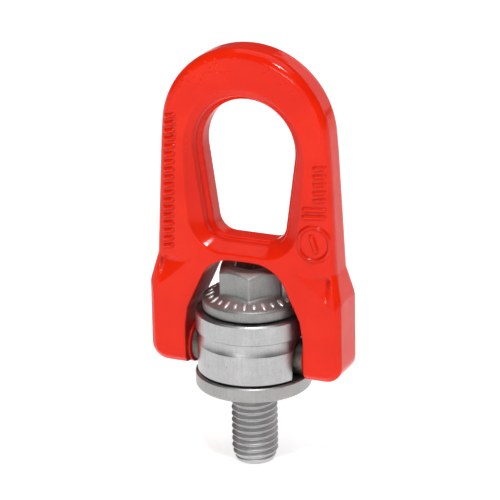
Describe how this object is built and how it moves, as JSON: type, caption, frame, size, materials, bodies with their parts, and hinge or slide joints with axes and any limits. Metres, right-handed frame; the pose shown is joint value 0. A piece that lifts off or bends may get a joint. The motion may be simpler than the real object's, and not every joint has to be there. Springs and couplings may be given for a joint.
{
  "type": "swivel hoist ring",
  "caption": "Forged red lifting link with two trunnions in a swivel body that turns on a flanged bush, clamped by a flanged hexagon bolt with a threaded shank.",
  "frame": {"origin": "centre of the bush's flat mounting face, on the bolt's axis", "axes": "+Z along the bolt's axis away from the load, X along the trunnion axis, Y across the link"},
  "size_m": [0.0528, 0.03, 0.1124],
  "materials": {
    "link_enamel": "gloss",
    "body_steel": "satin",
    "bush_steel": "satin",
    "bolt_steel": "satin",
    "spring_steel": "satin",
    "ball_steel": "polished"
  },
  "bodies": {
    "bolt_and_bush": {"hoist_bolt": "bolt_steel", "flanged_bush": "bush_steel", "bolt_retaining_ring": "spring_steel"},
    "swivel": {"swivel_body": "body_steel", "ball_filler_plug": "body_steel"},
    "link": {"lifting_link": "link_enamel"},
    "ball_row": {"ball_01": "ball_steel", "ball_02": "ball_steel", "ball_03": "ball_steel", "ball_04": "ball_steel", "ball_05": "ball_steel", "ball_06": "ball_steel", "ball_07": "ball_steel", "ball_08": "ball_steel", "ball_09": "ball_steel", "ball_10": "ball_steel", "ball_11": "ball_steel", "ball_12": "ball_steel", "ball_13": "ball_steel", "ball_14": "ball_steel", "ball_15": "ball_steel", "ball_16": "ball_steel", "ball_17": "ball_steel", "ball_18": "ball_steel", "ball_19": "ball_steel", "ball_20": "ball_steel"}
  },
  "joints": [
    {"name": "swivel_turn", "type": "hinge", "parent": "bolt_and_bush", "child": "swivel", "pos_m": [0, 0, 0.0178], "axis": [0, 0, 1], "continuous": true},
    {"name": "link_swing", "type": "hinge", "parent": "swivel", "child": "link", "pos_m": [0, 0, 0.0092], "axis": [1, 0, 0], "range_deg": [-90, 90]},
    {"name": "ball_row_turn", "type": "hinge", "parent": "bolt_and_bush", "child": "ball_row", "pos_m": [0, 0, 0.0178], "axis": [0, 0, 1], "continuous": true}
  ],
  "couplings": [
    {"joint": "ball_row_turn", "follows": "swivel_turn", "ratio": 0.5}
  ]
}
